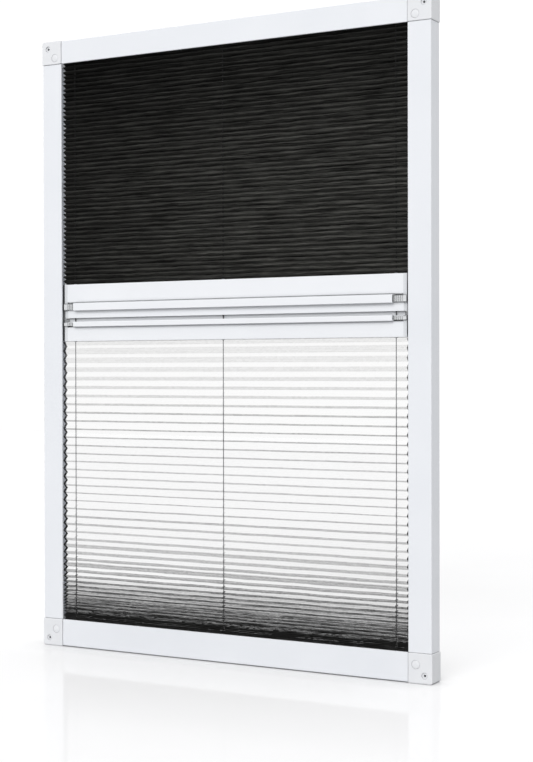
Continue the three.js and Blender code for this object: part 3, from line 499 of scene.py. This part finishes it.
# Insect screen: drawn out at the top, closer and closer towards the stack on the sill
screen = {
    "top": 0.48225, "bottom": 0.01905,  # lower rail and sill carrier
    "clamped": (0.48525, 0.01605),  # ends inside the clamps
    "keep": 0.0501,  # of its height with the rail at the bottom
    "plane": -0.0212, "cloth": 0.0194,  # of cloth in one pleat
    "start": 0.0012, "end": 0.0016,  # from the upper end to the first crease, and at least below the last one
    "hole": 0.0008, "rim": 0.0012, "patch": 0.0026,  # round each hole a rim takes a higher cover
    "edges": (-0.3150, 0.3118), "selvedge": (0.0044, 0.0033),  # the left one runs a little into the channel
    "covers": {"leg": 0.35, "uneven": 0.12},
    # height over the frame's foot, pleat pitch, band of painted shade round the front fold, its cover, the
    # rest's, mm
    # towards the stack both covers rise, so the crowded pleats are painted darker than their yarn alone
    "law": [(504, 14.6, 10.4, 0.19, 0.070), (470, 14.5, 7.4, 0.19, 0.054), (450, 14.4, 5.8, 0.22, 0.052),
            (430, 14.3, 4.8, 0.26, 0.048), (410, 14.2, 4.4, 0.28, 0.048), (390, 14.0, 3.1, 0.42, 0.048),
            (365, 13.6, 2.4, 0.46, 0.045), (345, 13.4, 2.4, 0.46, 0.088), (330, 13.2, 2.6, 0.45, 0.095),
            (300, 13.1, 2.6, 0.38, 0.086), (270, 12.9, 3.0, 0.40, 0.086), (240, 12.9, 1.9, 0.43, 0.080),
            (210, 12.6, 4.4, 0.45, 0.092), (190, 12.2, 3.8, 0.39, 0.088), (175, 11.8, 7.4, 0.44, 0.098),
            (160, 11.2, 4.8, 0.42, 0.090), (145, 10.2, 7.4, 0.49, 0.090), (130, 9.7, 5.4, 0.50, 0.080),
            (120, 8.7, 5.0, 0.61, 0.12), (110, 8.0, 4.2, 0.70, 0.31), (100, 7.2, 4.0, 0.76, 0.49),
            (90, 6.4, 3.2, 0.86, 0.56), (80, 5.4, 2.4, 0.93, 0.74), (70, 4.8, 2.3, 0.92, 0.80),
            (60, 3.4, 1.7, 0.98, 0.93), (50, 2.6, 1.3, 1.0, 1.0), (40, 2.6, 1.3, 1.0, 1.0)],
    "split": 0.8,  # the most of the face under a fold that the band takes; the rest of it goes above the fold
    # the same height, and the cover of the rims of the cord holes and of the selvedge
    "trim": [(504, 0.10, 0.82), (300, 0.14, 0.92), (200, 0.28, 1), (150, 0.5, 1), (100, 0.95, 1), (40, 1, 1)],
    # the same height, and how far a fold wanders, as a share of the way to the next one
    "loose": [(504, 0.02), (180, 0.05), (120, 0.13), (85, 0.30), (60, 0.42), (40, 0.34)],
    "wanderY": 0.0012, "waves": {"Y": 0.09, "Z": 0.14},
    "foot": -0.02175,
}


def fromTable(table, z):  # the values that a table of the screen gives for that place
    lines = np.array(screen[table])[::-1]
    height = (z - screen["foot"]) * 1000
    return [float(np.interp(height, lines[:, 0], lines[:, column])) for column in range(1, lines.shape[1])]


across = places(screen)
folds, z = [], screen["top"] - screen["start"]
while z > screen["bottom"] + screen["end"]:
    pitch, dark, shadedBandCover, rest = fromTable("law", z)
    pitch /= 1000
    reach = math.sqrt((screen["cloth"] / 2) ** 2 - (pitch / 2) ** 2) / 2
    share = dark / 1000 / (pitch / 2)  # of the face under the fold, in the band
    over = max(share - screen["split"], 0)
    share -= over
    trims = fromTable("trim", z)
    # painted shade: the band under the fold takes the higher cover
    under = {"z": z, "y": screen["plane"] - reach, "cuts": (share,), "trim": trims,
             "cover": lambda t, share=share, shadedBandCover=shadedBandCover, rest=rest: shadedBandCover if t < share else rest}
    lit = {"z": z - pitch / 2, "y": screen["plane"] + reach, "trim": trims,
           "cuts": (1 - over,) if over > cloth["sliver"] else (),
           "cover": lambda t, over=over, shadedBandCover=shadedBandCover, rest=rest: shadedBandCover if t > 1 - over else rest}
    folds += [under, lit]
    z -= pitch
spots = np.array([f["z"] for f in folds])
loose = np.array([fromTable("loose", z)[0] for z in spots])
waves = screen["waves"]
heights = (spots[:, None]
           + (np.abs(np.gradient(spots)) * loose)[:, None] * wander(across, 31, len(folds), waves["Z"]))
depths = (np.array([f["y"] for f in folds])[:, None]
          + (screen["wanderY"] * loose)[:, None] * freedom(across) * wander(across, 32, len(folds), waves["Y"]))
screenPiece, screenPoints = pleated("screen_pleats", screen, across, folds, depths, heights)
print("insect screen:", len(folds) // 2, "pleats,", len(screenPiece.data.polygons), "faces")

for piece, points, own, joint, anchor, solid, made, slot, ends in (
        (blackoutPiece, blackoutPoints, blackout, "upper_rail_slide", blackout["top"], "blackout_cloth",
         blackCloth, "blackout_cloth", ["header_clamp", "upper_rail_clamp"]),
        (screenPiece, screenPoints, screen, "lower_rail_slide", screen["bottom"], "insect_screen",
         netting, "screen_mesh", ["sill_clamp", "lower_rail_clamp"])):
    piece.data.materials.append(made)
    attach(piece, "frame")
    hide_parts(solid)
    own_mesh(piece)


# Floor and light
studio = {
    "floor": -0.02295,  # under the corner blocks
    "floorSize": 14,
    "white": "D6D6D7", "shade": "D2D2D3", "haze": 260,  # the sheet's own colours, in clouds of that size (mm)
    "lit": 0.39,  # how bright the camera sees it lit through
    "foot": 0.06,  # reach of the shade where the frame stands on it
    "around": 0.59, "lean": (0.06, 0.0, 0.22),  # even light from all round, more of it from above
    "glow": 0.465, "glowAt": (-0.49, 0.87, 0),  # bright wall behind
    "glowFull": 25, "glowGone": 48,  # its width in degrees
    "softbox": {"strength": 1.4, "spread": 34, "from": (0.15, -1.0, 0.60)},  # far away, this many degrees wide
}
floorMesh = bpy.data.meshes.new("floor")
half = studio["floorSize"] / 2
corners = [(x, y, studio["floor"]) for x, y in ((-half, -half), (half, -half), (half, half), (-half, half))]
floorMesh.from_pydata(corners, [], [(0, 1, 2, 3)])
floor = bpy.data.objects.new("floor", floorMesh)
scene.collection.objects.link(floor)
# Satin white acrylic sheet under a clear film, lit through: nearly shadowless, with a faint mirror image.
# The light through it only whitens the sheet itself, so the undersides of the grips keep their shade.
made, tree, shader, place = finish("white acrylic sheet", Specular_IOR_Level=0.0, Coat_Weight=1.0,
                                   Coat_IOR=1.08, Coat_Roughness=0.07, Emission_Color=linear("FFFFFF"))
seen = add(tree, "ShaderNodeLightPath").outputs["Is Camera Ray"]
through = add(tree, "ShaderNodeMath", {1: studio["lit"]}, {0: seen}, operation="MULTIPLY")
foot = add(tree, "ShaderNodeAmbientOcclusion", {"Distance": studio["foot"]}, samples=8)
dimmed = add(tree, "ShaderNodeMath", links={0: through.outputs[0], 1: foot.outputs["AO"]}, operation="MULTIPLY")
tree.links.new(dimmed.outputs[0], shader.inputs["Emission Strength"])
haze = add(tree, "ShaderNodeTexNoise", {"Scale": perMetre(studio["haze"]), "Detail": 2.0}, {"Vector": place})
tree.links.new(between(tree, studio["shade"], studio["white"], haze.outputs[0]), shader.inputs["Base Color"])
floorMesh.materials.append(made)

world = bpy.data.worlds.new("studio")
scene.world = world
world.use_nodes = True
tree = world.node_tree
sight = add(tree, "ShaderNodeTexCoord").outputs["Generated"]
lean = add(tree, "ShaderNodeVectorMath", {1: studio["lean"]}, {0: sight}, operation="DOT_PRODUCT")
even = add(tree, "ShaderNodeMath", {1: studio["around"]}, {0: lean.outputs["Value"]}, operation="ADD")
toWall = add(tree, "ShaderNodeVectorMath", {1: studio["glowAt"]}, {0: sight}, operation="DOT_PRODUCT")
wall = add(tree, "ShaderNodeMapRange",
           {"From Min": math.cos(math.radians(studio["glowGone"])),
            "From Max": math.cos(math.radians(studio["glowFull"])), "To Max": studio["glow"]},
           {"Value": toWall.outputs["Value"]}, interpolation_type="SMOOTHSTEP")
total = add(tree, "ShaderNodeMath", links={0: even.outputs[0], 1: wall.outputs[0]}, operation="ADD")
seen = add(tree, "ShaderNodeLightPath").outputs["Is Camera Ray"]
white = add(tree, "ShaderNodeMath", links={0: total.outputs[0], 1: seen}, operation="MAXIMUM")  # to the camera
tree.links.new(white.outputs[0], tree.nodes["Background"].inputs["Strength"])
tree.nodes["Background"].inputs["Color"].default_value = linear("FFFFFF")

box = studio["softbox"]
lamp = bpy.data.objects.new("softbox", bpy.data.lights.new("softbox", "SUN"))
lamp.data.energy, lamp.data.angle = box["strength"], math.radians(box["spread"])
lamp.rotation_euler = (-Vector(box["from"])).to_track_quat("-Z", "Y").to_euler()
scene.collection.objects.link(lamp)
print("studio lit")
